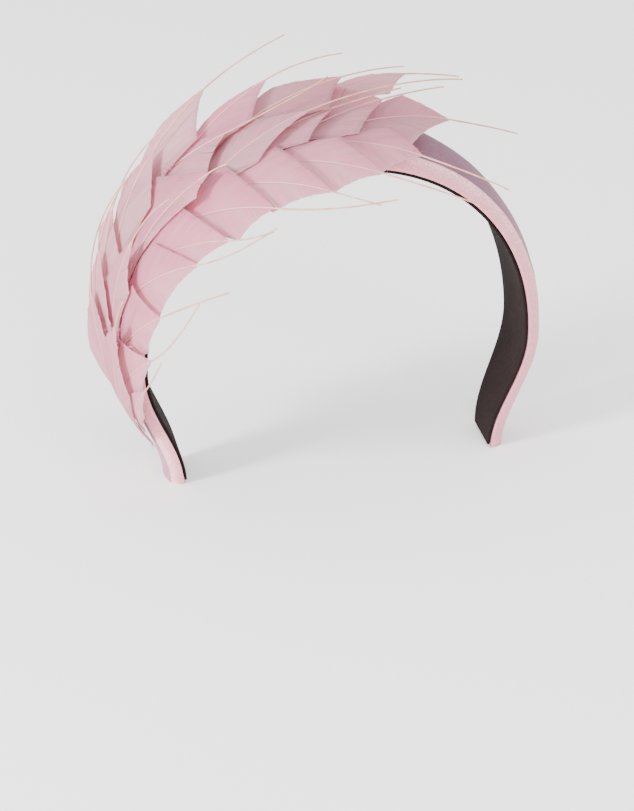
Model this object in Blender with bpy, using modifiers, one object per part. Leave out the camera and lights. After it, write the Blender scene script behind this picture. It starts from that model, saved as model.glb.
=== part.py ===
"""Feather fascinator on a padded headband.

A wide padded headband stands on its two ends, with a thin dark lining on its inner face.
Trimmed arrowhead feathers lie on it like shingles, in a front, a middle and a back row,
from the wearer's right end over the crown. Each one lies on the root of the next.

Axes: X to the wearer's left, Y to the back of the head, Z up. The wearer faces -Y.
Sizes are in metres. The origin is the middle of the bounding box, on the standing surface.
"""

import math
from collections import namedtuple

import bmesh
import bpy
import numpy as np
from mathutils import Vector

# Arch of the headband, measured on its inner face
ARCH_HALF_WIDTH = 0.075
ARCH_CROWN_RISE = 0.0795
ARCH_ARM_LENGTH = 0.052
ARCH_END_INSET = 0.014
ARCH_ROUNDNESS = 2.13

# Padded band and its lining
BAND_HALF_WIDTH = 0.026
BAND_END_HALF_WIDTH = 0.011
BAND_PAD = 0.0077
BAND_END_PAD = 0.0066
LINING_THICKNESS = 0.0012
LINING_EDGE_INSET = 0.0003
LINING_END_INSET = 0.0015
GAP = 0.0003

# Trimmed feathers
FEATHER_THICKNESS = 0.0006
ROOT_HALF_WIDTH = 0.0010
QUILL_HALF_WIDTH = 0.00045
FEATHER_SEAT = 0.0006
SHINGLE_SLOPE = 0.15
SHINGLE_BEND = 2.0
VANE_BULGE = 0.12
CUT_BULGE = 0.03
FLICK = 0.008

# Surface that the feathers lie on, across the band
FRONT_DROOP = 0.0114
FRONT_REACH = 0.050
BACK_RISE = 0.006
BACK_CREST = 0.038
BACK_CURL = 0.033

# Resolution
ARCH_SAMPLES = 600
BAND_STATIONS = 45
BLADE_ROWS = (0.0, 0.14, 0.29, 0.45, 0.59, 0.73, 0.87, 1.0)
CORNER_ROW = 3
VANE_COLUMNS = 3
QUILL_ROWS = 6

# Outer profile of the band: across is a share of its half width, front first, and rise
# is a share of its padding. The steep front facet ends in a ridge.
Profile = namedtuple("Profile", "across rise")
BAND_PROFILE = [
    Profile(-1.00, 0.00),
    Profile(-0.985, 0.30),
    Profile(-0.92, 0.54),
    Profile(-0.80, 0.70),
    Profile(-0.55, 0.86),
    Profile(-0.25, 0.97),
    Profile(0.05, 1.00),
    Profile(0.35, 0.95),
    Profile(0.62, 0.80),
    Profile(0.84, 0.54),
    Profile(0.96, 0.26),
    Profile(1.00, 0.00),
]

# Feathers, each row from the wearer's right end to the crown. Every place is a pair:
# a station along the band, as a share of half its length (-1 is the right end, 0 the
# crown), and a place across it, as a share of BAND_HALF_WIDTH (negative is forward).
# flick is a share of FLICK, for a quill that springs off.
Feather = namedtuple("Feather", "row root tip back front quill flick", defaults=(0.0,))
FEATHERS = [
    Feather("front", (-0.82, -0.45), (-0.66, -1.68), (-0.745, -0.50), (-0.73, -1.40), (-0.56, -2.20)),
    Feather("front", (-0.77, -0.10), (-0.58, -1.85), (-0.60, -0.88), (-0.68, -1.45), (-0.39, -2.60)),
    Feather("front", (-0.65, -0.40), (-0.49, -1.75), (-0.49, -0.82), (-0.58, -1.51), (-0.33, -2.75)),
    Feather("front", (-0.55, -0.35), (-0.35, -1.92), (-0.40, -0.77), (-0.50, -1.53), (-0.17, -2.50)),
    Feather("front", (-0.47, -0.50), (-0.27, -2.00), (-0.32, -0.60), (-0.37, -1.74), (-0.18, -2.40)),
    Feather("front", (-0.35, -0.70), (-0.16, -1.92), (-0.21, -0.56), (-0.25, -1.96), (0.08, -2.50)),
    Feather("front", (-0.24, -0.75), (-0.04, -1.95), (-0.11, -0.66), (-0.16, -1.82), (0.05, -2.38)),
    Feather("front", (-0.15, -0.70), (0.07, -1.72), (0.01, -0.79), (-0.03, -1.85), (0.31, -2.20)),
    Feather("front", (-0.03, -0.50), (0.16, -1.17), (0.12, -0.45), (0.07, -1.55), (0.33, -1.35)),
    Feather("middle", (-0.87, -0.30), (-0.56, -1.05), (-0.66, -0.10), (-0.70, -1.22), (-0.50, -1.25)),
    Feather("middle", (-0.695, 0.10), (-0.42, -0.50), (-0.57, 0.55), (-0.50, -0.84), (-0.31, -0.92)),
    Feather("middle", (-0.525, -0.10), (-0.235, -0.83), (-0.325, 0.33), (-0.275, -1.00), (-0.20, -0.95)),
    Feather("middle", (-0.40, 0.75), (-0.18, 0.13), (-0.27, 0.70), (-0.24, -0.50), (0.02, 0.45)),
    Feather("middle", (-0.29, -0.60), (-0.03, -0.12), (-0.15, 0.35), (-0.15, -0.84), (0.25, 0.80)),
    Feather("middle", (-0.188, -0.38), (0.02, 0.05), (-0.05, 0.40), (-0.05, -0.72), (0.15, 0.50)),
    Feather("middle", (-0.08, -0.35), (0.12, 0.42), (0.05, 0.80), (0.05, -0.61), (0.24, 1.05)),
    Feather("middle", (0.03, -0.15), (0.25, 0.42), (0.17, 0.77), (0.15, -0.75), (0.38, 0.77), 0.6),
    Feather("back", (-0.825, 0.20), (-0.58, 0.55), (-0.73, 1.10), (-0.64, -0.35), (-0.36, 0.30)),
    Feather("back", (-0.75, 0.45), (-0.50, 0.62), (-0.61, 0.90), (-0.63, -0.55), (-0.36, 0.50)),
    Feather("back", (-0.65, 0.50), (-0.43, 0.80), (-0.48, 1.02), (-0.48, 0.15), (-0.27, 0.77)),
    Feather("back", (-0.58, 0.40), (-0.30, 0.75), (-0.38, 0.92), (-0.36, -0.15), (-0.19, 0.95)),
    Feather("back", (-0.46, 0.55), (-0.18, 1.30), (-0.28, 1.30), (-0.23, 0.40), (-0.03, 1.46), 0.5),
    Feather("back", (-0.345, 0.30), (-0.08, 0.96), (-0.18, 0.85), (-0.13, 0.20), (0.06, 1.11)),
    Feather("back", (-0.24, 0.25), (0.05, 0.74), (-0.07, 0.90), (0.01, -0.05), (0.16, 0.97)),
    Feather("back", (-0.035, 0.55), (0.18, 1.33), (0.09, 1.10), (0.14, 0.70), (0.27, 1.46), 0.5),
]

# Colours, as linear RGBA
BAND_PINK = (0.48, 0.27, 0.36, 1.0)
LINING_BROWN = (0.035, 0.022, 0.020, 1.0)
FEATHER_PINKS = {
    "front": (0.73, 0.46, 0.52, 1.0),
    "middle": (0.72, 0.45, 0.50, 1.0),
    "back": (0.64, 0.43, 0.46, 1.0),
}


def half_arch():
    """Points down the arch's inner face from the crown to the end at +X, and their run."""
    turn = np.linspace(0.0, math.pi / 2, ARCH_SAMPLES)
    top_x = ARCH_HALF_WIDTH * np.sin(turn) ** (2 / ARCH_ROUNDNESS)
    top_z = ARCH_ARM_LENGTH + ARCH_CROWN_RISE * np.cos(turn) ** (2 / ARCH_ROUNDNESS)
    down = np.linspace(0.0, 1.0, ARCH_SAMPLES)[1:]
    arm_x = ARCH_HALF_WIDTH - ARCH_END_INSET * (1 - np.cos(math.pi * down)) / 2
    arm_z = ARCH_ARM_LENGTH * (1 - down)
    x = np.concatenate([top_x, arm_x])
    z = np.concatenate([top_z, arm_z])
    run = np.concatenate([[0.0], np.cumsum(np.hypot(np.diff(x), np.diff(z)))])
    return x, z, run


ARCH_X, ARCH_Z, ARCH_RUN = half_arch()
HALF_LENGTH = ARCH_RUN[-1]
LEAN = np.arctan2(np.gradient(ARCH_X, ARCH_RUN), -np.gradient(ARCH_Z, ARCH_RUN))
LEAN[0] = math.pi / 2
LEAN[-1] = 0.0


def on_arch(station, across, height):
    """The point at a station along the arch, a place across it and a height above it."""
    run = abs(station)
    side = 1.0 if station >= 0 else -1.0
    lean = np.interp(run, ARCH_RUN, LEAN)
    x = np.interp(run, ARCH_RUN, ARCH_X) + height * math.cos(lean)
    z = np.interp(run, ARCH_RUN, ARCH_Z) + height * math.sin(lean)
    return Vector((side * x, across, z))


def smooth(share):
    share = min(max(share, 0.0), 1.0)
    return share * share * (3 - 2 * share)


def band_half_width(station):
    taper = (abs(station) / HALF_LENGTH) ** 1.6
    return BAND_HALF_WIDTH + (BAND_END_HALF_WIDTH - BAND_HALF_WIDTH) * taper


def band_pad(station):
    taper = (abs(station) / HALF_LENGTH) ** 2
    return BAND_PAD + (BAND_END_PAD - BAND_PAD) * taper


def feather_base(station, across):
    """Height of the surface that the feathers lie on."""
    height = LINING_THICKNESS + GAP + band_pad(station) + FEATHER_SEAT
    if across < 0:
        return height - FRONT_DROOP * (across / FRONT_REACH) ** 2
    height += BACK_RISE * smooth(across / BACK_CREST)
    return height - max(across - BACK_CREST, 0.0) ** 2 / BACK_CURL


def shingle_height(feather, station, across):
    """A feather's own height: it climbs away from its root, over the roots after it."""
    along = station - feather.root[0] * HALF_LENGTH
    climb = SHINGLE_SLOPE * along + max(along, 0.0) ** 2 / SHINGLE_BEND
    return feather_base(station, across) + climb


def new_object(name, mesh, material, parts, origin):
    item = bpy.data.objects.new(name, mesh)
    item.data.materials.append(material)
    item.parent = origin
    parts.objects.link(item)
    return item


def new_material(name, colour, roughness):
    material = bpy.data.materials.new(name)
    material.use_nodes = True
    shader = material.node_tree.nodes["Principled BSDF"]
    shader.inputs["Base Color"].default_value = colour
    shader.inputs["Roughness"].default_value = roughness
    shader.inputs["Metallic"].default_value = 0.0
    material.diffuse_color = colour
    return material


def mesh_from(name, build):
    """A mesh whose faces are made by build, with their normals turned the same way."""
    work = bmesh.new()
    build(work)
    bmesh.ops.recalc_face_normals(work, faces=work.faces)
    mesh = bpy.data.meshes.new(name)
    work.to_mesh(mesh)
    work.free()
    mesh.shade_smooth()
    mesh.set_sharp_from_angle(angle=math.radians(40))
    return mesh


def bridge(work, first, second):
    for index in range(len(first) - 1):
        work.faces.new((first[index], first[index + 1], second[index + 1], second[index]))


def band_section(station):
    base = LINING_THICKNESS + GAP
    half = band_half_width(station)
    pad = band_pad(station)
    return [on_arch(station, point.across * half, base + point.rise * pad) for point in BAND_PROFILE]


def build_headband(work):
    """A loft of closed sections from end to end, with a flat foot on each end."""
    rings = []
    for station in np.linspace(-HALF_LENGTH, HALF_LENGTH, BAND_STATIONS):
        rings.append([work.verts.new(point) for point in band_section(station)])
    for first, second in zip(rings, rings[1:]):
        bridge(work, first + first[:1], second + second[:1])
    work.faces.new(rings[0])
    work.faces.new(rings[-1])


def build_lining(work):
    """The lining's middle surface, which Solidify thickens."""
    stations = np.linspace(-HALF_LENGTH, HALF_LENGTH, BAND_STATIONS)
    stations[0] += LINING_END_INSET
    stations[-1] -= LINING_END_INSET
    rows = []
    for station in stations:
        half = band_half_width(station) - LINING_EDGE_INSET
        places = (-half, 0.0, half)
        rows.append([work.verts.new(on_arch(station, place, LINING_THICKNESS / 2)) for place in places])
    for first, second in zip(rows, rows[1:]):
        bridge(work, first, second)


def scaled(place):
    """A table place as metres along and across the band."""
    return np.array([place[0] * HALF_LENGTH, place[1] * BAND_HALF_WIDTH])


def vane_edge(feather, corner, row):
    """Where a vane's edge runs: out from the root to its corner, then cut to the tip."""
    root, tip = scaled(feather.root), scaled(feather.tip)
    corner_share = BLADE_ROWS[CORNER_ROW]
    shaft_at_corner = root + (tip - root) * corner_share
    share = BLADE_ROWS[row]
    if share <= corner_share:
        part = share / corner_share
        start, end, bulge = root, corner, VANE_BULGE
    else:
        part = (share - corner_share) / (1 - corner_share)
        start, end, bulge = corner, tip, CUT_BULGE
    return start + (end - start) * part + (corner - shaft_at_corner) * bulge * math.sin(math.pi * part)


def blade_row(feather, row):
    """Places across the blade, from its back edge over the shaft to its front edge."""
    root, tip = scaled(feather.root), scaled(feather.tip)
    shaft = root + (tip - root) * BLADE_ROWS[row]
    heading = (tip - root) / np.linalg.norm(tip - root)
    left = np.array([-heading[1], heading[0]])
    least = ROOT_HALF_WIDTH + (QUILL_HALF_WIDTH - ROOT_HALF_WIDTH) * BLADE_ROWS[row]
    back = vane_edge(feather, scaled(feather.back), row) + left * least
    front = vane_edge(feather, scaled(feather.front), row) - left * least
    shares = np.arange(VANE_COLUMNS) / VANE_COLUMNS
    places = [back + (shaft - back) * share for share in shares]
    places.append(shaft)
    places.extend(front + (shaft - front) * share for share in reversed(shares))
    return places


def quill_place(feather, share):
    """Centre of the bare quill, which leaves the tip along the shaft and bends away."""
    root, tip, end = scaled(feather.root), scaled(feather.tip), scaled(feather.quill)
    heading = (tip - root) / np.linalg.norm(tip - root)
    control = tip + heading * np.linalg.norm(end - tip) / 2
    return tip * (1 - share) ** 2 + control * 2 * share * (1 - share) + end * share ** 2


def build_feather(work, feather):
    """One open surface: the blade's grid, then the bare quill as a narrow strip."""
    def place_point(place, extra=0.0):
        height = shingle_height(feather, place[0], place[1]) + extra
        return work.verts.new(on_arch(place[0], place[1], height))

    rows = []
    for row in range(len(BLADE_ROWS)):
        rows.append([place_point(place) for place in blade_row(feather, row)])
    for first, second in zip(rows, rows[1:]):
        bridge(work, first, second)
    strip = [rows[-1][0], rows[-1][-1]]
    tip_fan = rows[-1]
    for step in range(1, QUILL_ROWS + 1):
        share = step / QUILL_ROWS
        centre = quill_place(feather, share)
        behind = quill_place(feather, share - 1 / QUILL_ROWS)
        heading = (centre - behind) / np.linalg.norm(centre - behind)
        left = np.array([-heading[1], heading[0]]) * QUILL_HALF_WIDTH
        extra = feather.flick * FLICK * share ** 2
        pair = [place_point(centre + left, extra), place_point(centre - left, extra)]
        if step == 1:
            work.faces.new(tip_fan + [pair[1], pair[0]])
        else:
            work.faces.new((strip[0], strip[1], pair[1], pair[0]))
        strip = pair


def add_solidify(item, thickness):
    wall = item.modifiers.new("wall", "SOLIDIFY")
    wall.thickness = thickness
    wall.offset = 0.0


def bounds(items):
    """Lowest and highest corner of the evaluated objects."""
    graph = bpy.context.evaluated_depsgraph_get()
    points = []
    for item in items:
        shown = item.evaluated_get(graph)
        mesh = shown.to_mesh()
        points.extend(shown.matrix_world @ vertex.co for vertex in mesh.vertices)
        shown.to_mesh_clear()
    points = np.array(points)
    return points.min(axis=0), points.max(axis=0)


def main():
    for item in list(bpy.data.objects):
        bpy.data.objects.remove(item, do_unlink=True)
    parts = bpy.data.collections.new("fascinator")
    bpy.context.scene.collection.children.link(parts)
    origin = bpy.data.objects.new("fascinator_origin", None)
    parts.objects.link(origin)

    satin = new_material("band satin", BAND_PINK, 0.5)
    ribbon = new_material("lining ribbon", LINING_BROWN, 0.8)
    items = [new_object("headband", mesh_from("headband", build_headband), satin, parts, origin)]
    lining = new_object("band_lining", mesh_from("band_lining", build_lining), ribbon, parts, origin)
    add_solidify(lining, LINING_THICKNESS)
    items.append(lining)

    counts = {}
    for feather in FEATHERS:
        counts[feather.row] = counts.get(feather.row, 0) + 1
        name = f"feather_{feather.row}_{counts[feather.row]}"
        mesh = mesh_from(name, lambda work: build_feather(work, feather))
        vane = new_material(name.replace("_", " "), FEATHER_PINKS[feather.row], 0.6)
        item = new_object(name, mesh, vane, parts, origin)
        add_solidify(item, FEATHER_THICKNESS)
        items.append(item)

    bpy.context.view_layer.update()
    low, high = bounds(items)
    middle = (low + high) / 2
    origin.location = (-middle[0], -middle[1], -low[2])


main()
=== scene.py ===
# %% [markdown]
# A feather fascinator, dressed for the studio. The real one is a wide padded headband in
# pink satin, with trimmed goose feathers laid over it like shingles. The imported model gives
# every place and size. This lesson replaces its plain solids, one after the other, with
# pieces that have the real surface: satin, ribbon, barbs and quills.

# %% Load the frame
import math
from collections import namedtuple

import bmesh
import bpy
import numpy as np
from mathutils import Matrix, Vector, noise


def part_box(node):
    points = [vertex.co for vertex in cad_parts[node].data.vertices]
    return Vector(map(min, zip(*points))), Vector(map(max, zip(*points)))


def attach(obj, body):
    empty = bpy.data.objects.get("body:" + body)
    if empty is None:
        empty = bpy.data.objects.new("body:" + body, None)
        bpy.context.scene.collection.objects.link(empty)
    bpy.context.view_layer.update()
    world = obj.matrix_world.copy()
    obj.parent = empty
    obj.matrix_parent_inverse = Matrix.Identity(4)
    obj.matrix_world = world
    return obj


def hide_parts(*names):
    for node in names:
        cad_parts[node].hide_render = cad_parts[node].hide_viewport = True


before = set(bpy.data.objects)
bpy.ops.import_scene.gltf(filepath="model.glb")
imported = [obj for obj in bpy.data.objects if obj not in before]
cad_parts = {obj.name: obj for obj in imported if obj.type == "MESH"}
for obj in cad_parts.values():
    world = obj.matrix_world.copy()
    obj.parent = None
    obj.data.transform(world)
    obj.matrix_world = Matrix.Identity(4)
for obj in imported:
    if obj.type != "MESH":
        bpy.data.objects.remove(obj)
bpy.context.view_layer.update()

SEED = 27
MM = 0.001

# %% [markdown]
# The headband is an arch: a superellipse over the crown, with an arm at each side that
# bends in towards the jaw. Everything else is placed on it by three numbers, namely how far
# along the arch, how far across it, and how high above it. Working in these numbers keeps
# a feather's outline flat and easy to read, while the arch bends it into space.

# %% The arch
ARCH_HALF_WIDTH = 75 * MM
ARCH_CROWN_RISE = 79.5 * MM
ARCH_ARM_LENGTH = 52 * MM
ARCH_END_INSET = 14 * MM
ARCH_ROUNDNESS = 2.13
ARCH_SAMPLES = 600


def half_arch():
    """Points down the arch's inner face from the crown to one end, and their run."""
    turn = np.linspace(0.0, math.pi / 2, ARCH_SAMPLES)
    top_x = ARCH_HALF_WIDTH * np.sin(turn) ** (2 / ARCH_ROUNDNESS)
    top_z = ARCH_ARM_LENGTH + ARCH_CROWN_RISE * np.cos(turn) ** (2 / ARCH_ROUNDNESS)
    down = np.linspace(0.0, 1.0, ARCH_SAMPLES)[1:]
    arm_x = ARCH_HALF_WIDTH - ARCH_END_INSET * (1 - np.cos(math.pi * down)) / 2
    arm_z = ARCH_ARM_LENGTH * (1 - down)
    x = np.concatenate([top_x, arm_x])
    z = np.concatenate([top_z, arm_z])
    run = np.concatenate([[0.0], np.cumsum(np.hypot(np.diff(x), np.diff(z)))])
    return x, z, run


ARCH_X, ARCH_Z, ARCH_RUN = half_arch()
HALF_LENGTH = ARCH_RUN[-1]
LEAN = np.arctan2(np.gradient(ARCH_X, ARCH_RUN), -np.gradient(ARCH_Z, ARCH_RUN))
LEAN[0] = math.pi / 2
LEAN[-1] = 0.0

band_low, band_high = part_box("headband")
MIDDLE_X = (band_low[0] + band_high[0]) / 2
MIDDLE_Y = (band_low[1] + band_high[1]) / 2


def on_arch(station, across, height):
    """World points for arrays of places along, across and above the arch."""
    station, across, height = np.broadcast_arrays(station, across, height)
    run = np.abs(station)
    side = np.where(station >= 0, 1.0, -1.0)
    lean = np.interp(run, ARCH_RUN, LEAN)
    x = np.interp(run, ARCH_RUN, ARCH_X) + height * np.cos(lean)
    z = np.interp(run, ARCH_RUN, ARCH_Z) + height * np.sin(lean)
    return np.stack([MIDDLE_X + side * x, MIDDLE_Y + across, z], axis=-1)


print(f"arch: {2000 * HALF_LENGTH:.0f} mm from end to end, middle at x {1000 * MIDDLE_X:.1f} mm")

# %% [markdown]
# The camera comes early, because it decides what is seen. It stands at the photograph's
# angle: 25 degrees above the horizon, 11 degrees round to the wearer's right, and rolled a
# little. It aims below the arch, which leaves the same empty space under the piece.

# %% Camera
CAMERA_AZIMUTH = math.radians(-10.7)
CAMERA_ELEVATION = math.radians(24.8)
CAMERA_ROLL = math.radians(-1.7)
CAMERA_DISTANCE = 1.25
TARGET_HEIGHT = 62 * MM
PIXEL_SIZE = 0.394 * MM
FRAME_HEIGHT = 811
AIM_RIGHT = -4.7 * MM
AIM_UP = -36.2 * MM
SENSOR = 36.0


def add_camera():
    azimuth, elevation, roll = CAMERA_AZIMUTH, CAMERA_ELEVATION, CAMERA_ROLL
    back = Vector((
        math.sin(azimuth) * math.cos(elevation),
        -math.cos(azimuth) * math.cos(elevation),
        math.sin(elevation),
    ))
    level = Vector((math.cos(azimuth), math.sin(azimuth), 0.0))
    upright = back.cross(level)
    right = math.cos(roll) * level + math.sin(roll) * upright
    up = math.cos(roll) * upright - math.sin(roll) * level
    target = Vector((MIDDLE_X, MIDDLE_Y, TARGET_HEIGHT))
    place = target + CAMERA_DISTANCE * back
    aim = target + AIM_RIGHT * right + AIM_UP * up
    back = (place - aim).normalized()
    right = up.cross(back).normalized()
    up = back.cross(right)
    lens = bpy.data.cameras.new("studio camera")
    lens.sensor_width = SENSOR
    lens.lens = SENSOR * CAMERA_DISTANCE / (PIXEL_SIZE * FRAME_HEIGHT)
    lens.dof.use_dof = False
    camera = bpy.data.objects.new("studio_camera", lens)
    camera.matrix_world = Matrix.Translation(place) @ Matrix((right, up, back)).transposed().to_4x4()
    bpy.context.collection.objects.link(camera)
    bpy.context.scene.camera = camera
    return lens.lens


print(f"camera: {add_camera():.0f} mm lens")

# %% [markdown]
# Shader maths reads best as plain Python. A Wire wraps a socket, and adding or multiplying
# wires adds the Math nodes. A Graph adds any other node: its settings first, then the
# values or wires of its sockets. Both serve materials and Geometry Nodes alike.

# %% A socket that takes part in arithmetic
class Wire:
    def __init__(self, graph, socket):
        self.graph = graph
        self.socket = socket

    def combine(self, operation, first, second):
        return self.graph.node("ShaderNodeMath", {"operation": operation}, {0: first, 1: second})

    def __add__(self, other):
        return self.combine("ADD", self, other)

    def __radd__(self, other):
        return self.combine("ADD", other, self)

    def __sub__(self, other):
        return self.combine("SUBTRACT", self, other)

    def __rsub__(self, other):
        return self.combine("SUBTRACT", other, self)

    def __mul__(self, other):
        return self.combine("MULTIPLY", self, other)

    def __rmul__(self, other):
        return self.combine("MULTIPLY", other, self)

    def __truediv__(self, other):
        return self.combine("DIVIDE", self, other)

    def __pow__(self, other):
        return self.combine("POWER", self, other)


class Graph:
    """A node tree being made."""

    def __init__(self, tree):
        self.tree = tree

    def feed(self, socket, value):
        if isinstance(value, Wire):
            self.tree.links.new(value.socket, socket)
        else:
            socket.default_value = value

    def node(self, kind, settings=None, sockets=None, output=0):
        made = self.tree.nodes.new(kind)
        for key, value in (settings or {}).items():
            setattr(made, key, value)
        for key, value in (sockets or {}).items():
            self.feed(made.inputs[key], value)
        return Wire(self, made.outputs[output])

    def clamp(self, value):
        return self.node("ShaderNodeClamp", None, {0: value})

    def sine(self, value):
        return self.node("ShaderNodeMath", {"operation": "SINE"}, {0: value})

    def between(self, value, low, high):
        """0 below low, 1 above high and a smooth step from one to the other."""
        return self.node("ShaderNodeMapRange", {"interpolation_type": "SMOOTHSTEP"}, {0: value, 1: low, 2: high})


# %% A material being made
class Finish(Graph):
    """A Principled material, and the patterns that its colour and bump are made of."""

    def __init__(self, name, roughness, **constants):
        self.material = bpy.data.materials.new(name)
        self.material.use_nodes = True
        super().__init__(self.material.node_tree)
        self.shader = self.tree.nodes["Principled BSDF"]
        self.shader.inputs["Roughness"].default_value = roughness
        for key, value in constants.items():
            self.shader.inputs[key.replace("_", " ")].default_value = value

    def place(self):
        return self.node("ShaderNodeTexCoord", None, None, "Object")

    def surface(self, name):
        """The two coordinates of a piece's own map, in millimetres."""
        pair = self.node("ShaderNodeUVMap", {"uv_map": name})
        parts = self.node("ShaderNodeSeparateXYZ", None, {0: pair})
        return parts, Wire(self, parts.socket.node.outputs["Y"])

    def point(self, x, y):
        return self.node("ShaderNodeCombineXYZ", None, {0: x, 1: y})

    def number(self, name):
        return self.node("ShaderNodeAttribute", {"attribute_name": name}, None, "Fac")

    def grain(self, where, scale, detail=2.0):
        sockets = {"Vector": where, "Scale": scale, "Detail": detail}
        return self.node("ShaderNodeTexNoise", None, sockets, "Fac")

    def blend(self, share, first, second):
        sockets = {0: share, 6: first, 7: second}
        return self.node("ShaderNodeMix", {"data_type": "RGBA"}, sockets, 2)

    def tone(self, colour, amount):
        """The colour, times a number that varies about 1."""
        grey = self.node("ShaderNodeCombineColor", None, {0: amount, 1: amount, 2: amount})
        settings = {"data_type": "RGBA", "blend_type": "MULTIPLY"}
        return self.node("ShaderNodeMix", settings, {0: 1.0, 6: colour, 7: grey}, 2)

    def colour(self, value):
        self.feed(self.shader.inputs["Base Color"], value)

    def relief(self, height, depth):
        """A bump of that depth in metres."""
        bump = self.node("ShaderNodeBump", None, {"Height": height, "Distance": depth, "Strength": 1.0})
        self.feed(self.shader.inputs["Normal"], bump)


# %% [markdown]
# Dyed goose feather is soft and slightly glossy. Its barbs are fine parallel strands that
# hook together, so the colour runs in streaks along them. The map named barbs carries two
# numbers in millimetres: how far along the shaft a barb leaves, and how far out on it a
# point is. A streak is noise that is stretched along the barb. Light also comes through a
# vane, so a share of the shader is translucent, which warms the shadows between feathers.

# %% Vane material
ROSE = (0.62, 0.228, 0.34, 1.0)
PALE = (0.61, 0.38, 0.41, 1.0)
PAINTED_EDGE_HIGHLIGHT = (0.80, 0.56, 0.60, 1.0)
THROUGH = (0.92, 0.60, 0.66, 1.0)
# Painted shade: the grey-brown towards which back feathers turned from the light are darkened.
PAINTED_SHADE_DUSK = (0.37, 0.25, 0.25, 1.0)
BARB_WIDTH = 0.42
FRONT_HALF_PAINTED_LIGHT = 0.3
VANE_THROUGH_SHARE = 0.5


def vane_finish():
    finish = Finish("dyed goose vane", 0.6, Sheen_Weight=0.1, Sheen_Roughness=0.4, Specular_IOR_Level=0.25)
    leaves, out = finish.surface("barbs")
    streak = finish.grain(finish.point(leaves * 1.1, out * 0.04), 1.0, 6.0)
    blotch = finish.grain(finish.point(leaves * 0.12, out * 0.07), 1.0)
    strand = finish.grain(finish.point(leaves * 4.5, out * 0.06), 1.0, 3.0)
    fine = finish.sine(leaves * (2 * math.pi / BARB_WIDTH))
    # Painted light: the front half of each vane is made paler, as its slope catches more light than the rear half.
    tone = finish.number("tone") + finish.between(out * -1.0, 0.0, 0.6) * FRONT_HALF_PAINTED_LIGHT
    share = finish.clamp(tone + (blotch - 0.5) * 1.6)
    # Painted shade: a feather whose tone is below 0 is darkened towards grey-brown, streaked along its barbs.
    painted_dusk = finish.clamp(tone * -1.0 + (streak - 0.5) * tone * -1.0)
    # Painted highlight: the outer ends of the barbs, along all of a vane's edges, are blended a little towards a pale
    # colour.
    edge = finish.between(finish.number("reach"), 0.93, 1.0)
    pink = finish.blend(edge * 0.4, finish.blend(share, ROSE, PALE), PAINTED_EDGE_HIGHLIGHT)
    pink = finish.blend(painted_dusk, pink, PAINTED_SHADE_DUSK)
    shade = 0.50 + streak * 0.56 + strand * 0.44 + fine * 0.03
    finish.colour(finish.tone(pink, shade))
    finish.relief(fine * 0.5 + streak * 2.0, 0.05 * MM)
    through = finish.node("ShaderNodeBsdfTranslucent", None, {0: THROUGH})
    body = Wire(finish, finish.shader.outputs[0])
    mixed = finish.node("ShaderNodeMixShader", None, {0: VANE_THROUGH_SHARE, 1: body, 2: through})
    finish.feed(finish.tree.nodes["Material Output"].inputs["Surface"], mixed)
    return finish.material


VANE = vane_finish()

# %% [markdown]
# The shaft is horn: harder, smoother and paler than the vane, because dye takes less on it.
# It keeps a peach tint with faint flecks, and blushes pink towards the root.

# %% Shaft material
HORN = (0.50, 0.24, 0.165, 1.0)
HORN_PALE = (0.62, 0.35, 0.26, 1.0)
BLUSH = (0.55, 0.26, 0.27, 1.0)


def shaft_finish():
    finish = Finish("peach quill horn", 0.42, Specular_IOR_Level=0.35)
    fleck = finish.grain(finish.place(), 220.0, 3.0)
    bare = finish.between(finish.number("along"), 0.35, 0.7)
    horn = finish.blend(finish.between(fleck, 0.35, 0.65), HORN, HORN_PALE)
    finish.colour(finish.blend(bare, BLUSH, horn))
    finish.relief(fleck, 0.04 * MM)
    return finish.material


SHAFT = shaft_finish()

# %% [markdown]
# The band's satin is dusty pink, and light and shade are painted on it along its section:
# the top past the ridge is painted in a dark mauve shade, and the steep front facet in a pale
# frosted highlight. The map named cloth carries the run along the band and the way round its
# section, so the painted light and shade follow the ridge. A fine twill gives the bump, and
# grains of light and dark are painted glints, standing for the single floats that catch the light.

# %% Band material
# Painted highlight: the steep front facet is coloured this pale frosted pink, most near the ridge.
PAINTED_FROST_HIGHLIGHT = (0.84, 0.43, 0.48, 1.0)
DUSTY_PINK = (0.71, 0.29, 0.35, 1.0)
# Painted shade: the top of the band, past the ridge, is coloured this dark mauve.
PAINTED_SHADE_MAUVE = (0.165, 0.055, 0.10, 1.0)
TWILL = 0.55
RIDGE_AT = 7.6
UNDER_FEATHERS = -60.0
FEATHERS_END = 30.0
SIDE_START = 50.0
SIDE_END = 140.0


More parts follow.
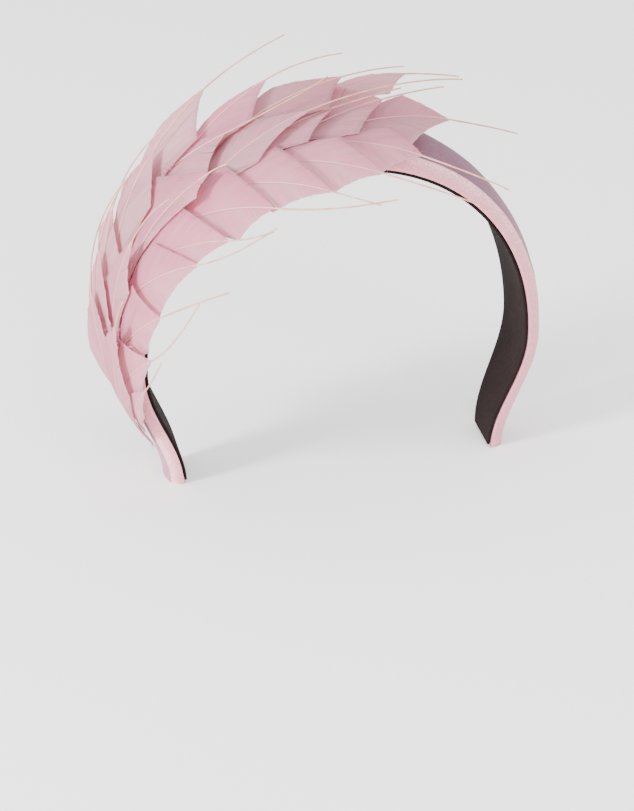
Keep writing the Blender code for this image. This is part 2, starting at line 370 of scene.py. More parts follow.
def band_finish():
    finish = Finish("pink satin", 0.55, Sheen_Weight=0.06, Sheen_Roughness=0.35, Specular_IOR_Level=0.22)
    run, round_it = finish.surface("cloth")
    place = finish.place()
    cloud = finish.grain(place, 60.0, 3.0)
    # Painted shade: the share of dark mauve painted on the top past the ridge, weaker under the feathers and fading
    # down the side.
    painted_shade = finish.between(round_it + (finish.grain(place, 90.0) - 0.5) * 1.6, RIDGE_AT - 0.5, RIDGE_AT + 0.9)
    painted_shade = painted_shade * (0.6 + finish.between(run, UNDER_FEATHERS, FEATHERS_END) * 0.4)
    painted_shade = painted_shade * (1.0 - finish.between(run, SIDE_START, SIDE_END) * 0.45)
    # Painted highlight: the share of pale frost on the front facet, rising towards the ridge and fading down the
    # side.
    frost_highlight = finish.between(round_it + cloud * 2.0, 2.5, RIDGE_AT) * (1.0 - finish.between(run, SIDE_START, SIDE_END))
    # Painted glints: fine grains of light and dark laid on the colour, strongest on the painted highlight and weakest
    # in the painted shade; the same grains also make part of the bump.
    glint = finish.grain(place, 1500.0, 2.0)
    shade = 0.84 + (glint - 0.5) * (0.9 + frost_highlight * 0.7 - painted_shade * 0.5) + cloud * 0.22
    facet = finish.blend(frost_highlight, DUSTY_PINK, PAINTED_FROST_HIGHLIGHT)
    finish.colour(finish.tone(finish.blend(painted_shade, facet, PAINTED_SHADE_MAUVE), shade))
    twill = finish.sine((run + round_it) * (2 * math.pi / TWILL))
    finish.relief(twill * 0.4 + glint * 1.5, 0.06 * MM)
    return finish.material


SATIN = band_finish()

# %% [markdown]
# The lining is a dark grosgrain ribbon, whose ribs run across it. Only its edge shows from
# the front, but from below it is the largest surface of the piece.

# %% Ribbon material
RIBBON_DARK = (0.009, 0.005, 0.0048, 1.0)
RIBBON_LIGHT = (0.020, 0.012, 0.011, 1.0)
RIB = 0.9


def ribbon_finish():
    finish = Finish("dark grosgrain", 0.9, Specular_IOR_Level=0.08)
    run, across = finish.surface("cloth")
    rib = finish.sine(run * (2 * math.pi / RIB))
    thread = finish.sine(across * (2 * math.pi / (RIB / 2)))
    worn = finish.grain(finish.place(), 120.0, 3.0)
    share = finish.clamp(0.35 + rib * 0.25 + (worn - 0.5) * 0.8)
    finish.colour(finish.blend(share, RIBBON_DARK, RIBBON_LIGHT))
    finish.relief(rib + thread * 0.25, 0.10 * MM)
    return finish.material


RIBBON = ribbon_finish()
print(f"materials: {VANE.name}, {SHAFT.name}, {SATIN.name}, {RIBBON.name}")

# %% [markdown]
# A mesh made from a grid of points needs only its rows. This helper makes the faces, and
# writes the map from a second grid that holds two numbers for each point.

# %% Meshes from grids of points
def surface_mesh(name, grids, map_name, numbers=None):
    """One mesh from open grids, each (points, map), with numbers such as {"tone": 0.3}."""
    places, pairs, faces = [], [], []
    for points, chart in grids:
        rows, columns = points.shape[:2]
        start = len(places)
        places.extend(points.reshape(-1, 3))
        pairs.extend(chart.reshape(-1, chart.shape[-1]))
        for row in range(rows - 1):
            for column in range(columns - 1):
                corner = start + row * columns + column
                faces.append((corner, corner + 1, corner + columns + 1, corner + columns))
    mesh = bpy.data.meshes.new(name)
    mesh.from_pydata([tuple(place) for place in places], [], faces)
    chart = mesh.uv_layers.new(name=map_name)
    for loop in mesh.loops:
        chart.data[loop.index].uv = pairs[loop.vertex_index][:2]
    for key, value in (numbers or {}).items():
        layer = mesh.attributes.new(key, "FLOAT", "POINT")
        for index, item in enumerate(layer.data):
            item.value = value if isinstance(value, float) else pairs[index][value]
    mesh.shade_smooth()
    return mesh


def show(name, mesh):
    piece = bpy.data.objects.new(name, mesh)
    bpy.context.collection.objects.link(piece)
    return piece


# %% [markdown]
# The padded band is a foam strip under satin. A cushion could be inflated by a simulation,
# but this pad is only 8 mm thick and the satin is glued taut over it, so its section is
# drawn instead: a steep front facet that ends in a ridge, then a low crown to the back. The
# sections are lofted along the arch, and a slow ripple takes away the machine-made look.

# %% Band sections
BAND_HALF_WIDTH = 26 * MM
BAND_END_HALF_WIDTH = 11 * MM
BAND_PAD = 7.7 * MM
BAND_END_PAD = 6.6 * MM
LINING_THICKNESS = 1.2 * MM
GAP = 0.3 * MM
COVER_STATIONS = 261
COVER_STEPS = 6
RIPPLE = 0.22 * MM
RIPPLE_LENGTH = 9 * MM

Profile = namedtuple("Profile", "across rise")
COVER_PROFILE = [
    Profile(-1.00, 0.00),
    Profile(-0.992, 0.16),
    Profile(-0.955, 0.36),
    Profile(-0.885, 0.56),
    Profile(-0.815, 0.71),
    Profile(-0.70, 0.785),
    Profile(-0.50, 0.88),
    Profile(-0.25, 0.97),
    Profile(0.05, 1.00),
    Profile(0.35, 0.95),
    Profile(0.62, 0.80),
    Profile(0.84, 0.54),
    Profile(0.96, 0.26),
    Profile(1.00, 0.00),
]


def band_half_width(station):
    taper = (np.abs(station) / HALF_LENGTH) ** 1.6
    return BAND_HALF_WIDTH + (BAND_END_HALF_WIDTH - BAND_HALF_WIDTH) * taper


def band_pad(station):
    taper = (np.abs(station) / HALF_LENGTH) ** 2
    return BAND_PAD + (BAND_END_PAD - BAND_PAD) * taper


def smooth_profile():
    """The profile's points with steps added between them, and every corner rounded a little."""
    knots = np.array(COVER_PROFILE)
    along = np.arange(len(knots))
    fine = np.linspace(0, len(knots) - 1, (len(knots) - 1) * COVER_STEPS + 1)
    spread = np.stack([np.interp(fine, along, knots[:, axis]) for axis in (0, 1)], axis=1)
    for _ in range(COVER_STEPS):
        middle = (spread[:-2] + 2 * spread[1:-1] + spread[2:]) / 4
        spread[1:-1] = middle
    return spread


def cover_grid():
    section = smooth_profile()
    stations = np.linspace(-HALF_LENGTH, HALF_LENGTH, COVER_STATIONS)
    around = np.concatenate([[0.0], np.cumsum(np.hypot(
        np.diff(section[:, 0]) * BAND_HALF_WIDTH, np.diff(section[:, 1]) * BAND_PAD))])
    rows, charts = [], []
    for station in stations:
        half, pad = band_half_width(station), band_pad(station)
        across = section[:, 0] * half
        rise = section[:, 1] * pad
        calm = np.clip(section[:, 1] * 2, 0, 1)
        ripple = np.array([noise.noise(Vector((station, place, 0.0)) / RIPPLE_LENGTH) for place in across])
        points = on_arch(station, across, LINING_THICKNESS + GAP + rise + ripple * RIPPLE * calm)
        under = on_arch(station, across[::-1] * 0.98, LINING_THICKNESS + GAP)
        rows.append(np.concatenate([points, under[1:-1:COVER_STEPS], points[:1]]))
        back = np.full(len(under[1:-1:COVER_STEPS]), around[-1])
        round_it = np.concatenate([around, back, [around[-1]]])
        charts.append(np.stack([np.full(len(round_it), station), round_it], axis=1) / MM)
    return np.array(rows), np.array(charts)


def close_ends(mesh):
    """Merges the seam and closes the open ends, so that the cover is one closed body."""
    work = bmesh.new()
    work.from_mesh(mesh)
    bmesh.ops.remove_doubles(work, verts=work.verts, dist=0.01 * MM)
    edges = [edge for edge in work.edges if edge.is_boundary]
    bmesh.ops.holes_fill(work, edges=edges)
    bmesh.ops.recalc_face_normals(work, faces=work.faces)
    work.to_mesh(mesh)
    work.free()
    mesh.shade_smooth()
    mesh.set_sharp_from_angle(angle=math.radians(50))


def make_band_cover():
    mesh = surface_mesh("band_cover", [cover_grid()], "cloth")
    close_ends(mesh)
    mesh.materials.append(SATIN)
    cover = show("band_cover", mesh)
    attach(cover, "root")
    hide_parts("headband")
    print(f"band_cover: {len(mesh.polygons)} faces")


make_band_cover()

# %% [markdown]
# The ribbon lies on the band's inner face, a little narrower than the pad. It is a sheet
# of cloth with real thickness and a soft edge, so it is a grid that Solidify thickens.

# %% Lining ribbon
RIBBON_THICKNESS = 1.0 * MM
RIBBON_INSET = 0.3 * MM
RIBBON_END_INSET = 1.5 * MM
RIBBON_STATIONS = 181
RIBBON_COLUMNS = 13
RIBBON_EDGE = 0.35 * MM


def make_ribbon():
    end = HALF_LENGTH - RIBBON_END_INSET
    stations = np.linspace(-end, end, RIBBON_STATIONS)
    shares = np.sin(np.linspace(-math.pi / 2, math.pi / 2, RIBBON_COLUMNS))
    half = band_half_width(stations) - RIBBON_INSET
    across = half[:, None] * shares
    middle = LINING_THICKNESS / 2 + 0 * across
    points = on_arch(stations[:, None], across, middle)
    chart = np.stack([stations[:, None] + 0 * across, across], axis=-1) / MM
    mesh = surface_mesh("lining_ribbon", [(points, chart)], "cloth")
    mesh.materials.append(RIBBON)
    ribbon = show("lining_ribbon", mesh)
    wall = ribbon.modifiers.new("cloth thickness", "SOLIDIFY")
    wall.thickness = RIBBON_THICKNESS
    wall.offset = 0.0
    edge = ribbon.modifiers.new("soft edge", "BEVEL")
    edge.width = RIBBON_EDGE
    edge.segments = 2
    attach(ribbon, "root")
    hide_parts("band_lining")


make_ribbon()

# %% [markdown]
# Each feather is trimmed to an arrowhead: straight cuts run from the tip back to a corner
# on each side. The table gives those points as shares along and across the band. The last
# columns are the looks: the tone and shade column runs from rosy at 0 to pale at 1, and below 0
# it paints a grey-brown shade on a back feather that turns away from the light; splits counts
# the places where the barbs have come apart.

# %% Table of feathers
Feather = namedtuple("Feather", "row root tip back front quill flick tone splits")
FEATHERS = [
    Feather("front", (-0.82, -0.45), (-0.66, -1.68), (-0.745, -0.50), (-0.73, -1.40), (-0.56, -2.20), 0.0, 0.5, 3),
    Feather("front", (-0.77, -0.10), (-0.58, -1.85), (-0.60, -0.88), (-0.68, -1.45), (-0.39, -2.60), 0.0, 0.25, 3),
    Feather("front", (-0.65, -0.40), (-0.49, -1.75), (-0.49, -0.82), (-0.58, -1.51), (-0.33, -2.75), 0.0, 0.15, 3),
    Feather("front", (-0.55, -0.35), (-0.35, -1.92), (-0.40, -0.77), (-0.50, -1.53), (-0.17, -2.50), 0.0, 0.1, 2),
    Feather("front", (-0.47, -0.50), (-0.27, -2.00), (-0.32, -0.60), (-0.37, -1.74), (-0.18, -2.40), 0.0, 0.0, 1),
    Feather("front", (-0.35, -0.70), (-0.16, -1.92), (-0.21, -0.56), (-0.25, -1.96), (0.08, -2.50), 0.0, 0.1, 1),
    Feather("front", (-0.24, -0.75), (-0.04, -1.95), (-0.11, -0.66), (-0.16, -1.82), (0.05, -2.38), 0.0, 0.3, 2),
    Feather("front", (-0.15, -0.70), (0.07, -1.72), (0.01, -0.79), (-0.03, -1.85), (0.31, -2.20), 0.0, 0.35, 2),
    Feather("front", (-0.03, -0.50), (0.16, -1.17), (0.12, -0.45), (0.07, -1.55), (0.33, -1.35), 0.0, 0.25, 1),
    Feather("middle", (-0.87, -0.30), (-0.56, -1.05), (-0.66, -0.10), (-0.70, -1.22), (-0.50, -1.25), 0.0, 0.3, 2),
    Feather("middle", (-0.695, 0.10), (-0.42, -0.50), (-0.57, 0.55), (-0.50, -0.84), (-0.31, -0.92), 0.0, 0.35, 2),
    Feather("middle", (-0.525, -0.10), (-0.235, -0.83), (-0.325, 0.33), (-0.275, -1.00), (-0.20, -0.95), 0.0, 0.2, 2),
    Feather("middle", (-0.40, 0.75), (-0.18, 0.13), (-0.27, 0.70), (-0.24, -0.50), (0.02, 0.45), 0.0, 0.3, 4),
    Feather("middle", (-0.29, -0.60), (-0.03, -0.12), (-0.15, 0.35), (-0.15, -0.84), (0.25, 0.80), 0.0, 0.65, 1),
    Feather("middle", (-0.188, -0.38), (0.02, 0.05), (-0.05, 0.40), (-0.05, -0.72), (0.15, 0.50), 0.0, 0.3, 1),
    Feather("middle", (-0.08, -0.35), (0.12, 0.42), (0.05, 0.80), (0.05, -0.61), (0.24, 1.05), 0.0, 0.3, 2),
    Feather("middle", (0.03, -0.15), (0.25, 0.42), (0.17, 0.77), (0.15, -0.75), (0.38, 0.77), 0.6, 0.3, 0),
    Feather("back", (-0.825, 0.20), (-0.58, 0.55), (-0.73, 1.10), (-0.64, -0.35), (-0.36, 0.30), 0.0, 0.4, 1),
    Feather("back", (-0.75, 0.45), (-0.50, 0.62), (-0.61, 0.90), (-0.63, -0.55), (-0.36, 0.50), 0.0, 0.5, 1),
    Feather("back", (-0.65, 0.50), (-0.43, 0.80), (-0.48, 1.02), (-0.48, 0.15), (-0.27, 0.77), 0.0, 0.5, 1),
    Feather("back", (-0.58, 0.40), (-0.30, 0.75), (-0.38, 0.92), (-0.36, -0.15), (-0.19, 0.95), 0.0, 0.6, 1),
    Feather("back", (-0.46, 0.55), (-0.18, 1.30), (-0.28, 1.30), (-0.23, 0.40), (-0.03, 1.46), 0.5, 0.8, 1),
    Feather("back", (-0.345, 0.30), (-0.08, 0.96), (-0.18, 0.85), (-0.13, 0.20), (0.06, 1.11), 0.0, -0.1, 1),
    Feather("back", (-0.24, 0.25), (0.05, 0.74), (-0.07, 0.90), (0.01, -0.05), (0.16, 0.97), 0.0, -0.8, 0),
    Feather("back", (-0.035, 0.55), (0.18, 1.33), (0.09, 1.10), (0.14, 0.70), (0.27, 1.46), 0.5, 0.6, 0),
]

# %% [markdown]
# Feathers lie like shingles, so none may cut its neighbour. One rule keeps them apart: a
# feather's height grows with its distance from its root, so where two overlap, the one
# rooted further back always lies on top.

# %% Height of a feather above the arch
FEATHER_SEAT = 0.6 * MM
SHINGLE_SLOPE = 0.15
SHINGLE_BEND = 2.0
FLICK = 8 * MM
FRONT_DROOP = 11.4 * MM
FRONT_REACH = 50 * MM
BACK_RISE = 6 * MM
BACK_CREST = 38 * MM
BACK_CURL = 33 * MM


def feather_base(station, across):
    """Height of the surface that the feathers lie on."""
    height = LINING_THICKNESS + GAP + band_pad(station) + FEATHER_SEAT
    droop = FRONT_DROOP * (np.minimum(across, 0.0) / FRONT_REACH) ** 2
    share = np.clip(across / BACK_CREST, 0.0, 1.0)
    crest = BACK_RISE * share * share * (3 - 2 * share)
    curl = np.maximum(across - BACK_CREST, 0.0) ** 2 / BACK_CURL
    return height - droop + crest - curl


def shingle_height(feather, station, across):
    along = station - feather.root[0] * HALF_LENGTH
    return feather_base(station, across) + SHINGLE_SLOPE * along + np.maximum(along, 0.0) ** 2 / SHINGLE_BEND


def scaled(place):
    return np.array([place[0] * HALF_LENGTH, place[1] * BAND_HALF_WIDTH])


# %% [markdown]
# A vane could be a flat card with a picture of barbs. Here every barb line is real: it
# leaves the shaft at a slant and runs out to the cut edge, where it ends a little ragged. A
# trimmed feather's rear edge lies along a barb, so a barb's angle decides how many lines
# end on the rear edge and how many on the cut. Where barbs part, a line is doubled and
# its two copies spread towards the edge, which opens a narrow split.

# %% Lines of barbs
CORNER_SHARE = 0.45
VANE_BULGE = 0.12
CUT_BULGE = -0.03
ROOT_HALF_WIDTH = 1.0 * MM
QUILL_HALF_WIDTH = 0.45 * MM
BARB_ANGLE = math.radians(42)
BARB_PITCH = 0.75 * MM
BARB_COLUMNS = 11
BARB_BOW = 0.05
RAGGED = 0.16 * MM
SPLIT_WIDTH = 0.10 * MM
SPLIT_LIFT = 0.16 * MM
CAMBER = 0.30 * MM
CUT_LIFT = 0.45 * MM

random = np.random.default_rng(SEED)


def edge_place(feather, corner, share):
    """Where a vane's edge runs: out from the root to its corner, then cut to the tip."""
    root, tip = scaled(feather.root), scaled(feather.tip)
    shaft_at_corner = root + (tip - root) * CORNER_SHARE
    if share <= CORNER_SHARE:
        part = share / CORNER_SHARE
        start, end, bulge = root, corner, VANE_BULGE
    else:
        part = (share - CORNER_SHARE) / (1 - CORNER_SHARE)
        start, end, bulge = corner, tip, CUT_BULGE
    return start + (end - start) * part + (corner - shaft_at_corner) * bulge * math.sin(math.pi * part)


def barb_lines(feather, corner):
    """For each barb line, the share of the shaft where it leaves and of the edge where it ends."""
    root, tip = scaled(feather.root), scaled(feather.tip)
    length = np.linalg.norm(tip - root)
    heading = (tip - root) / length
    reach = corner - root
    ahead = reach @ heading
    out = abs(reach[0] * heading[1] - reach[1] * heading[0])
    leaves = np.clip((ahead - out / math.tan(BARB_ANGLE)) / length, 0.05, 0.9)
    rear = math.ceil(max(np.linalg.norm(reach), leaves * length) / BARB_PITCH)
    cut = math.ceil(max(np.linalg.norm(tip - corner), (1 - leaves) * length) / BARB_PITCH)
    from_shaft = np.concatenate([np.linspace(0, leaves, rear, endpoint=False), np.linspace(leaves, 1, cut + 1)])
    to_edge = np.concatenate([
        np.linspace(0, CORNER_SHARE, rear, endpoint=False),
        np.linspace(CORNER_SHARE, 1, cut + 1),
    ])
    return from_shaft, to_edge, rear


def vane_half(feather, corner, side, splits):
    """One half of a vane, as grids between its splits, with each point's barb and reach."""
    root, tip = scaled(feather.root), scaled(feather.tip)
    length = np.linalg.norm(tip - root)
    heading = (tip - root) / length
    outward = np.array([-heading[1], heading[0]]) * side
    from_shaft, to_edge, rear = barb_lines(feather, corner)
    count = len(from_shaft)
    reach = np.linspace(0.0, 1.0, BARB_COLUMNS)
    lines = np.zeros((count, BARB_COLUMNS, 2))
    for index in range(count):
        least = ROOT_HALF_WIDTH + (QUILL_HALF_WIDTH - ROOT_HALF_WIDTH) * to_edge[index]
        start = root + (tip - root) * from_shaft[index]
        end = edge_place(feather, corner, to_edge[index]) + outward * least
        run = end - start
        size = np.linalg.norm(run)
        ragged = random.uniform(-1.0, 0.3) * RAGGED * min(1.0, size / (4 * MM))
        end = end + run / max(size, 1e-9) * ragged
        bow = -heading * BARB_BOW * size * np.sin(math.pi * reach)[:, None]
        lines[index] = start + (end - start) * reach[:, None] + bow
    cuts = sorted(random.choice(np.arange(rear + 3, count - 5), splits, replace=False)) if splits else []
    bounds = [0] + [int(cut) for cut in cuts] + [count - 1]
    depths = {bound: random.uniform(0.3, 0.8) for bound in bounds}
    grids = []
    for low, high in zip(bounds, bounds[1:]):
        if high <= low:
            continue
        part = lines[low:high + 1].copy()
        lift = np.zeros(part.shape[:2])
        for line, sign in ((0, 1.0), (-1, -1.0)):
            whole = (low if line == 0 else high)
            if whole in (0, count - 1):
                continue
            open_share = np.clip((reach - depths[whole]) / (1 - depths[whole]), 0.0, 1.0)
            part[line] += heading * (sign * SPLIT_WIDTH * open_share)[:, None]
            lift[line] = sign * SPLIT_LIFT * open_share
        barb = np.arange(low, high + 1)[:, None] + 0 * reach
        size = np.linalg.norm(part[:, -1] - part[:, 0], axis=1)[:, None]
        chart = np.stack([barb * BARB_PITCH / MM, side * size * reach / MM, barb, reach + 0 * barb], axis=-1)
        height = shingle_height(feather, part[..., 0], part[..., 1]) + lift
        height = height + CAMBER * np.sin(math.pi * reach) * np.minimum(1.0, size / (8 * MM))
        on_cut = np.clip((to_edge[low:high + 1, None] - CORNER_SHARE) / 0.15, 0.0, 1.0)
        height = height + CUT_LIFT * on_cut * reach ** 2 * np.minimum(1.0, size / (8 * MM))
        points = on_arch(part[..., 0], part[..., 1], height)
        if side > 0:
            points, chart = points[::-1], chart[::-1]
        grids.append((points, chart))
    return grids


# %% [markdown]
# Barbs gather in clumps, so a vane is never quite flat. A Geometry Nodes tree adds that
# relief: it reads each point's barb number, makes one slow noise for the clumps and a fine
# ridge on every second line, and moves the point along its normal. The effect grows from
# nothing at the shaft to its full height at the edge.

# %% Tree for the relief of barbs
class Recipe(Graph):
    """A Geometry Nodes tree with named inputs, which starts from the object's geometry."""

    def __init__(self, name, inputs):
        super().__init__(bpy.data.node_groups.new(name, "GeometryNodeTree"))
        self.names = {}
        face = self.tree.interface
        face.new_socket("Geometry", in_out="INPUT", socket_type="NodeSocketGeometry")
        for label, kind in inputs.items():
            self.names[label] = face.new_socket(label, in_out="INPUT", socket_type="NodeSocket" + kind)
        face.new_socket("Geometry", in_out="OUTPUT", socket_type="NodeSocketGeometry")
        self.start = self.tree.nodes.new("NodeGroupInput")
        self.end = self.tree.nodes.new("NodeGroupOutput")

    def given(self, label):
        return Wire(self, self.start.outputs[label])

    def finish(self, geometry):
        real = self.node("GeometryNodeRealizeInstances", None, {0: geometry})
        dressed = self.node("GeometryNodeSetMaterial", None, {0: real, "Material": self.given("Material")})
        self.feed(self.end.inputs[0], dressed)

    def grow(self, piece, **values):
        """Runs the tree on a piece and returns its result as a plain mesh; the piece goes."""
        modifier = piece.modifiers.new(self.tree.name, "NODES")
        modifier.node_group = self.tree
        for label, value in values.items():
            modifier[self.names[label].identifier] = value
        graph = bpy.context.evaluated_depsgraph_get()
        mesh = bpy.data.meshes.new_from_object(piece.evaluated_get(graph), depsgraph=graph)
        bpy.data.objects.remove(piece, do_unlink=True)
        return mesh


def relief_recipe():
    recipe = Recipe("barb relief", {"Clump height": "Float", "Ridge height": "Float",
                                    "Seed": "Float", "Material": "Material"})
    number = {"data_type": "FLOAT"}
    barb = recipe.node("GeometryNodeInputNamedAttribute", number, {"Name": "barb"})
    reach = recipe.node("GeometryNodeInputNamedAttribute", number, {"Name": "reach"})
    clump = recipe.node("ShaderNodeTexNoise", {"noise_dimensions": "1D"},
                        {"W": barb * 0.22 + recipe.given("Seed"), "Scale": 1.0, "Detail": 1.0}, "Fac")
    ridge = recipe.node("ShaderNodeMath", {"operation": "PINGPONG"}, {0: barb, 1: 1.0})
    height = (clump - 0.5) * recipe.given("Clump height") + (ridge - 0.5) * recipe.given("Ridge height")
    normal = recipe.node("GeometryNodeInputNormal")
    offset = recipe.node("ShaderNodeVectorMath", {"operation": "SCALE"}, {0: normal, "Scale": height * reach})
    recipe.finish(recipe.node("GeometryNodeSetPosition", None,
                              {0: recipe.given("Geometry"), "Offset": offset}))
    return recipe


RELIEF = relief_recipe()
CLUMP_HEIGHT = 0.6 * MM
RIDGE_HEIGHT = 0.07 * MM

# %% [markdown]
# The shaft runs from the root along the blade, and goes on past the tip as a bare quill
# that bends away. It is a tube that tapers all the way. A second tree sweeps a small ring
# along the route and scales it by how far along it is.

# %% Tree for tapered shafts
def shaft_recipe():
    recipe = Recipe("tapered shaft", {"Root radius": "Float", "Tip radius": "Float",
                                      "Sides": "Int", "Material": "Material"})
    line = recipe.node("GeometryNodeMeshToCurve", None, {0: recipe.given("Geometry")})
    along = recipe.node("GeometryNodeSplineParameter", None, None, "Factor")
    thick, thin = recipe.given("Root radius"), recipe.given("Tip radius")
    radius = thick + (thin - thick) * along ** 0.7
    line = recipe.node("GeometryNodeSetCurveRadius", None, {0: line, "Radius": radius})
    ring = recipe.node("GeometryNodeCurvePrimitiveCircle", None,
                       {"Resolution": recipe.given("Sides"), "Radius": 1.0})
    number = {"data_type": "FLOAT", "domain": "POINT"}
    line = recipe.node("GeometryNodeStoreNamedAttribute", number,
                       {"Geometry": line, "Name": "along", "Value": along})
    tube = recipe.node("GeometryNodeCurveToMesh", None,
                       {"Curve": line, "Profile Curve": ring, "Fill Caps": True, "Scale": radius})
    recipe.finish(recipe.node("GeometryNodeSetShadeSmooth", None, {0: tube, "Shade Smooth": True}))
    return recipe


SHAFTS = shaft_recipe()
SHAFT_ROOT_RADIUS = 0.44 * MM
SHAFT_TIP_RADIUS = 0.28 * MM
SHAFT_SIDES = 10
SHAFT_RISE = 0.10 * MM
SHAFT_STEPS = 22
QUILL_STEPS = 26


def shaft_route(feather):
    """Points along the shaft and then along the bare quill."""
    root, tip, end = scaled(feather.root), scaled(feather.tip), scaled(feather.quill)
    shares = np.linspace(0.0, 1.0, SHAFT_STEPS)[:, None]
    blade = root + (tip - root) * shares
    heading = (tip - root) / np.linalg.norm(tip - root)
    control = tip + heading * np.linalg.norm(end - tip) / 2
    shares = np.linspace(0.0, 1.0, QUILL_STEPS + 1)[1:, None]
    bare = tip * (1 - shares) ** 2 + control * 2 * shares * (1 - shares) + end * shares ** 2
    route = np.concatenate([blade, bare])
    flick = np.concatenate([np.zeros(SHAFT_STEPS), feather.flick * FLICK * shares[:, 0] ** 2])
    height = shingle_height(feather, route[:, 0], route[:, 1]) + flick + SHAFT_RISE
    return on_arch(route[:, 0], route[:, 1], height)


def make_shaft_mesh(name, feather):
    points = shaft_route(feather)
    wire = bpy.data.meshes.new(name)
    wire.from_pydata([tuple(point) for point in points], [(i, i + 1) for i in range(len(points) - 1)], [])
    values = {"Root radius": SHAFT_ROOT_RADIUS, "Tip radius": SHAFT_TIP_RADIUS,
              "Sides": SHAFT_SIDES, "Material": SHAFT}
    return SHAFTS.grow(show(name, wire), **values)


# %% [markdown]
# Three things stop a feather from looking stamped out: single barbs that stand off its
# edge, a tuft of short down at its root, and curled scraps where a vane is torn. All are
# the same small hook, thin or broad, instanced on chosen points by a third tree. Each
# point knows which way is out, and the tree turns and scales every hook a little
# differently.

# %% Tree for loose barbs
def barb_recipe():
    recipe = Recipe("loose barbs", {"Length": "Float", "Radius": "Float", "Spread": "Float",
                                    "Seed": "Int", "Material": "Material"})
    hook = recipe.node("GeometryNodeCurveQuadraticBezier", None, {
        "Resolution": 6, "Start": (0.0, 0.0, 0.0), "Middle": (0.05, 0.0, 0.6), "End": (0.35, 0.0, 1.0)})
    taper = 1.0 - recipe.node("GeometryNodeSplineParameter", None, None, "Factor") * 0.75
    ring = recipe.node("GeometryNodeCurvePrimitiveCircle", None,
                       {"Resolution": 3, "Radius": recipe.given("Radius") / recipe.given("Length")})
    strand = recipe.node("GeometryNodeCurveToMesh", None,
                         {"Curve": hook, "Profile Curve": ring, "Fill Caps": True, "Scale": taper})
    out = recipe.node("GeometryNodeInputNamedAttribute", {"data_type": "FLOAT_VECTOR"}, {"Name": "outward"})
    turn = recipe.node("FunctionNodeAlignRotationToVector", {"axis": "Z"}, {"Vector": out})
    spread = recipe.given("Spread")
    reach = recipe.node("ShaderNodeCombineXYZ", None, {0: spread, 1: spread, 2: math.pi})
    back = recipe.node("ShaderNodeVectorMath", {"operation": "SCALE"}, {0: reach, "Scale": -1.0})
    wobble = recipe.node("FunctionNodeRandomValue", {"data_type": "FLOAT_VECTOR"},
                         {0: back, 1: reach, "Seed": recipe.given("Seed")})
    turn = recipe.node("FunctionNodeRotateRotation", {"rotation_space": "LOCAL"},
                       {"Rotation": turn, "Rotate By": wobble})
    size = recipe.node("FunctionNodeRandomValue", {"data_type": "FLOAT"},
                       {2: 0.4, 3: 1.0, "Seed": recipe.given("Seed")}, 1)
    placed = recipe.node("GeometryNodeInstanceOnPoints", None, {
        "Points": recipe.given("Geometry"), "Instance": strand, "Rotation": turn,
        "Scale": size * recipe.given("Length")})
    recipe.finish(placed)
    return recipe


BARBS = barb_recipe()
STRAYS_PER_FEATHER = 26
STRAY_LENGTH = 1.9 * MM
STRAY_RADIUS = 0.045 * MM
STRAY_SPREAD = 0.5
DOWN_PER_FEATHER = 36
DOWN_LENGTH = 2.8 * MM
DOWN_RADIUS = 0.11 * MM
DOWN_SPREAD = 0.5
DOWN_LIFT = -0.1
DOWN_PATCH = 1.3 * MM
SCRAP_LENGTH = 3.2 * MM
SCRAP_RADIUS = 0.42 * MM
SCRAP_SPREAD = 1.1
SCRAP_LIFT = 0.6
SCRAP_PATCH = 0.9 * MM

# Where the vanes are torn: station and across are shares, as in the table of feathers.
Scrap = namedtuple("Scrap", "feather station across count")
SCRAPS = [
    Scrap("middle_1", -0.566, -0.87, 4),
    Scrap("middle_2", -0.612, -0.43, 9),
    Scrap("front_3", -0.594, -0.44, 8),
    Scrap("front_3", -0.618, -0.33, 9),
    Scrap("front_2", -0.598, -0.85, 8),
    Scrap("front_2", -0.574, -1.31, 3),
    Scrap("front_2", -0.616, -0.73, 12),
    Scrap("front_3", -0.646, -0.02, 8),
    Scrap("middle_3", -0.302, 0.19, 9),
    Scrap("middle_3", -0.288, -0.40, 7),
]


def hooks_on(name, places, outward, number, length, radius, spread):
    wire = bpy.data.meshes.new(name)
    wire.from_pydata([tuple(place) for place in places], [], [])
    layer = wire.attributes.new("outward", "FLOAT_VECTOR", "POINT")
    for item, way in zip(layer.data, outward):
        item.vector = way
    values = {"Length": length, "Radius": radius, "Spread": spread, "Seed": number, "Material": VANE}
    return BARBS.grow(show(name, wire), **values)


def make_strays(name, grids, number):
    """Single barbs that stand off the outline, each along the barb that it comes from."""
    ends, ways = [], []
    for points, _ in grids:
        ends.extend(points[:, -1])
        ways.extend(points[:, -1] - points[:, -4])
    chosen = random.choice(len(ends), STRAYS_PER_FEATHER, replace=False)
    places = [ends[index] for index in chosen]
    outward = [ways[index] / max(np.linalg.norm(ways[index]), 1e-9) for index in chosen]
    return hooks_on(name, places, outward, number, STRAY_LENGTH, STRAY_RADIUS, STRAY_SPREAD)


def make_tuft(name, feather, spot, number, length, radius, spread, lift):
    """Hooks about chosen spots on a feather, pointing back and, by lift, up from the arch."""
    height = shingle_height(feather, spot[:, 0], spot[:, 1])
    places = on_arch(spot[:, 0], spot[:, 1], height)
    above = on_arch(spot[:, 0], spot[:, 1], height + MM)
    behind = on_arch(spot[:, 0] - MM, spot[:, 1], height)
    outward = (above - places) * lift + (behind - places)
    outward = outward / np.linalg.norm(outward, axis=1)[:, None]
    return hooks_on(name, places, outward, 100 + number, length, radius, spread)


def make_down(name, feather, number):
    """Short down about the root."""
    spot = scaled(feather.root) + random.normal(0.0, DOWN_PATCH, (DOWN_PER_FEATHER, 2))
    return make_tuft(name, feather, spot, number, DOWN_LENGTH, DOWN_RADIUS, DOWN_SPREAD, DOWN_LIFT)


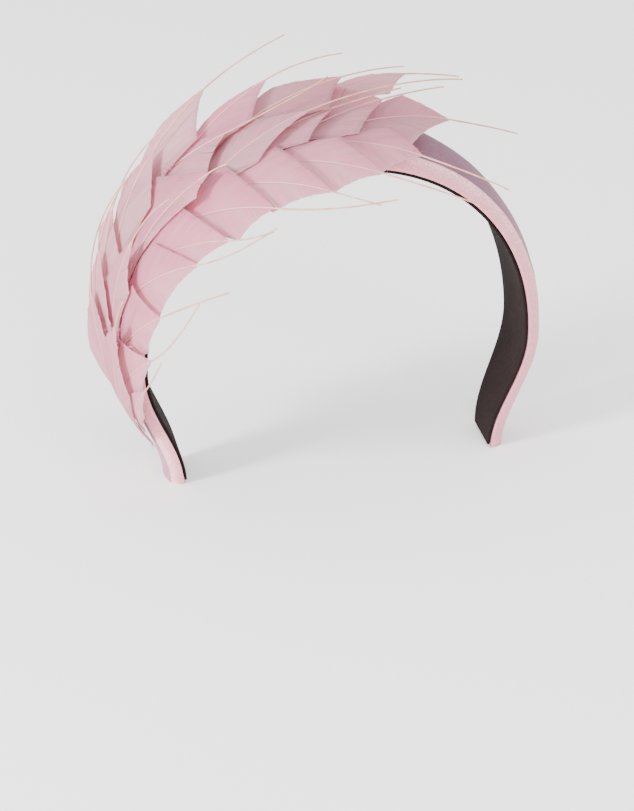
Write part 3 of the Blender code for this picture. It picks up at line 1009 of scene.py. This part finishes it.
def make_scraps(name, feather, scrap, number):
    """Broad, curled bits of torn vane."""
    spot = scaled((scrap.station, scrap.across)) + random.normal(0.0, SCRAP_PATCH, (scrap.count, 2))
    return make_tuft(name, feather, spot, number, SCRAP_LENGTH, SCRAP_RADIUS, SCRAP_SPREAD, SCRAP_LIFT)


# %% [markdown]
# A feather is one living piece, so its vane and its shaft become one object with two
# materials. The vane is thickened first. Each feather replaces the plain solid of the same
# name, and rides on the only body.

# %% Feathers
VANE_THICKNESS = 0.26 * MM


def make_vane_mesh(name, feather, grids, number):
    flat = surface_mesh(name, grids, "barbs", {"barb": 2, "reach": 3, "tone": float(feather.tone)})
    piece = show(name, flat)
    values = {"Clump height": CLUMP_HEIGHT, "Ridge height": RIDGE_HEIGHT, "Seed": 3.7 * number, "Material": VANE}
    mesh = RELIEF.grow(piece, **values)
    work = bmesh.new()
    work.from_mesh(mesh)
    bmesh.ops.remove_doubles(work, verts=work.verts, dist=0.02 * MM)
    work.to_mesh(mesh)
    work.free()
    piece = show(name, mesh)
    wall = piece.modifiers.new("vane thickness", "SOLIDIFY")
    wall.thickness = VANE_THICKNESS
    wall.offset = 0.0
    graph = bpy.context.evaluated_depsgraph_get()
    thick = bpy.data.meshes.new_from_object(piece.evaluated_get(graph), depsgraph=graph)
    bpy.data.objects.remove(piece, do_unlink=True)
    return thick


def join_meshes(name, meshes):
    """One object from several meshes, which keep their maps, numbers and materials."""
    pieces = [show(f"{name}_part_{index}", mesh) for index, mesh in enumerate(meshes)]
    with bpy.context.temp_override(active_object=pieces[0], selected_editable_objects=pieces):
        bpy.ops.object.join()
    pieces[0].name = name
    pieces[0].data.name = name
    return pieces[0]


def make_feathers():
    counts = {}
    total = 0
    for number, feather in enumerate(FEATHERS):
        counts[feather.row] = counts.get(feather.row, 0) + 1
        label = f"{feather.row}_{counts[feather.row]}"
        node, name = "feather_" + label, "goose_" + label
        grids = vane_half(feather, scaled(feather.back), 1.0, feather.splits - feather.splits // 2)
        grids += vane_half(feather, scaled(feather.front), -1.0, feather.splits // 2)
        parts = [
            make_vane_mesh(name, feather, grids, number),
            make_shaft_mesh(name + "_shaft", feather),
            make_strays(name + "_strays", grids, number),
            make_down(name + "_down", feather, number),
        ]
        torn = [scrap for scrap in SCRAPS if scrap.feather == label]
        parts += [make_scraps(name + "_scraps", feather, scrap, number) for scrap in torn]
        piece = join_meshes(name, parts)
        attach(piece, "root")
        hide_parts(node)
        total += len(piece.data.polygons)
    print(f"feathers: {len(FEATHERS)}, {total} faces in all")


make_feathers()

# %% [markdown]
# The studio is plain: a pale floor, a small key light low at the left, a larger soft light
# before the piece to open the shadows, and an even pale sky.

# %% Floor and lights
FLOOR_HALF = 4.0
FLOOR_DROP = 0.05 * MM


def make_floor():
    finish = Finish("pale studio floor", 0.9, Specular_IOR_Level=0.1)
    cloud = finish.grain(finish.place(), 3.0)
    finish.colour(finish.blend(cloud, (0.945, 0.945, 0.945, 1.0), (0.965, 0.965, 0.965, 1.0)))
    mesh = bpy.data.meshes.new("studio_floor")
    work = bmesh.new()
    bmesh.ops.create_grid(work, x_segments=2, y_segments=2, size=FLOOR_HALF)
    bmesh.ops.translate(work, verts=work.verts, vec=(0.0, 0.0, -FLOOR_DROP))
    work.to_mesh(mesh)
    work.free()
    mesh.materials.append(finish.material)
    show("studio_floor", mesh)


def add_softbox(name, place, size, power):
    light = bpy.data.lights.new(name, "AREA")
    light.shape = "DISK"
    light.size = size
    light.energy = power
    lamp = bpy.data.objects.new(name, light)
    lamp.location = place
    aim = Vector((0.0, 0.0, 0.08)) - Vector(place)
    lamp.rotation_euler = aim.to_track_quat("-Z", "Y").to_euler()
    bpy.context.collection.objects.link(lamp)


make_floor()
add_softbox("key_softbox", (-1.5, -0.5, 0.55), 0.4, 60.0)
add_softbox("fill_softbox", (0.2, -1.6, 1.0), 1.2, 26.0)

SKY_STRENGTH = 2.0
world = bpy.data.worlds.new("studio sky")
bpy.context.scene.world = world
world.use_nodes = True
sky = world.node_tree.nodes["Background"]
sky.inputs["Color"].default_value = (1.0, 0.99, 0.98, 1.0)
sky.inputs["Strength"].default_value = SKY_STRENGTH
